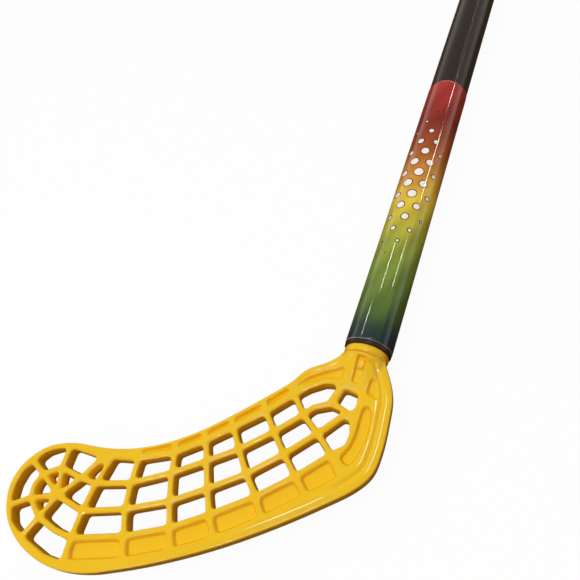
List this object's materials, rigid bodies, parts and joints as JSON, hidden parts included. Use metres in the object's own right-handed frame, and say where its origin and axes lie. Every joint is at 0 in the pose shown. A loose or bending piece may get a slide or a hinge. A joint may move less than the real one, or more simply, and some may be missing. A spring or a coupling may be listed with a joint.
{
  "type": "floorball stick",
  "caption": "Floorball stick with a flat lattice blade on a straight round tube, a printed film round the lower tube and a wound grip with an end cap.",
  "frame": {"origin": "centre of the bottom of the stick's box, with the stick lying on its back", "axes": "+Y along the tube from the blade to the hand end, +Z out of the blade's front face, the toe of the blade at -X"},
  "size_m": [0.1802, 0.901, 0.0282],
  "materials": {
    "blade_plastic": "glossy yellow moulded plastic",
    "tube_plastic": "satin black tube",
    "printed_film": "glossy film that runs from dark blue through green and yellow to red",
    "screw_steel": "black zinc",
    "grip_rubber": "matt wound band with fine grain",
    "tape_plastic": "smooth black tape",
    "cap_plastic": "matt black plastic"
  },
  "bodies": {
    "root": {"blade": "blade_plastic", "shaft_tube": "tube_plastic", "decor_film": "printed_film", "blade_screw_lower": "screw_steel", "blade_screw_upper": "screw_steel", "grip_band": "grip_rubber", "grip_end_tape": "tape_plastic", "end_cap": "cap_plastic"}
  },
  "joints": []
}
